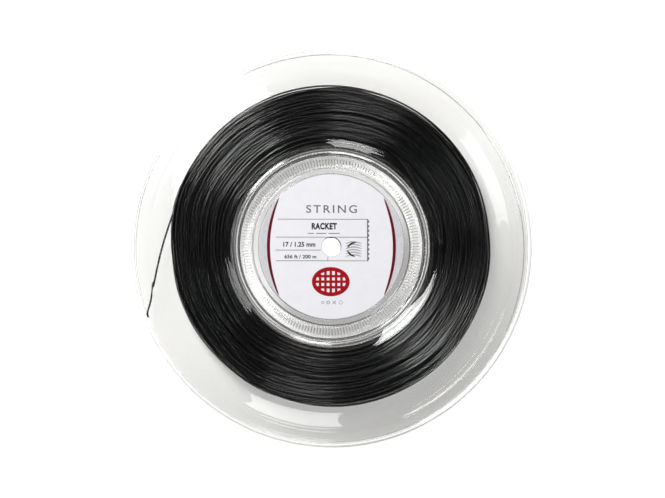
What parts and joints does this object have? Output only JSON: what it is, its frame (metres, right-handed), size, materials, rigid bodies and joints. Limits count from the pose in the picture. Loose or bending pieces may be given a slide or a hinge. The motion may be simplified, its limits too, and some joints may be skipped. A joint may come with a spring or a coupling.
{
  "type": "racket string reel",
  "caption": "Clear two-disc reel with a recessed ribbed hub and round label, wound with black monofilament racket string whose free end is threaded through the rim.",
  "frame": {"origin": "on the reel's axis, at the plane that it rests on: the outer face of the rear disc", "axes": "+Z along the reel's axis, out of the front label; +Y towards the top of the label's print"},
  "size_m": [0.262, 0.262, 0.0234],
  "materials": {
    "clear_plastic": "clear glossy polystyrene",
    "label_paper": "satin coated paper, slightly cool white",
    "black_string": "glossy black polyester monofilament"
  },
  "bodies": {
    "rear_disc": {"rear_flange": "clear_plastic", "rear_hub_wall": "clear_plastic", "rear_hub_web": "clear_plastic", "rear_label": "label_paper"},
    "winding": {"hub_core": "clear_plastic", "string_pack": "black_string", "string_tail": "black_string"},
    "front_disc": {"front_flange": "clear_plastic", "front_hub_wall": "clear_plastic", "front_hub_web": "clear_plastic", "front_label": "label_paper", "string_end": "black_string"}
  },
  "joints": [
    {"name": "core_pull", "type": "slide", "parent": "rear_disc", "child": "winding", "axis": [0, 0, 1], "range_m": [0, 0.02]},
    {"name": "front_disc_pull", "type": "slide", "parent": "winding", "child": "front_disc", "axis": [0, 0, 1], "range_m": [0, 0.02]}
  ]
}
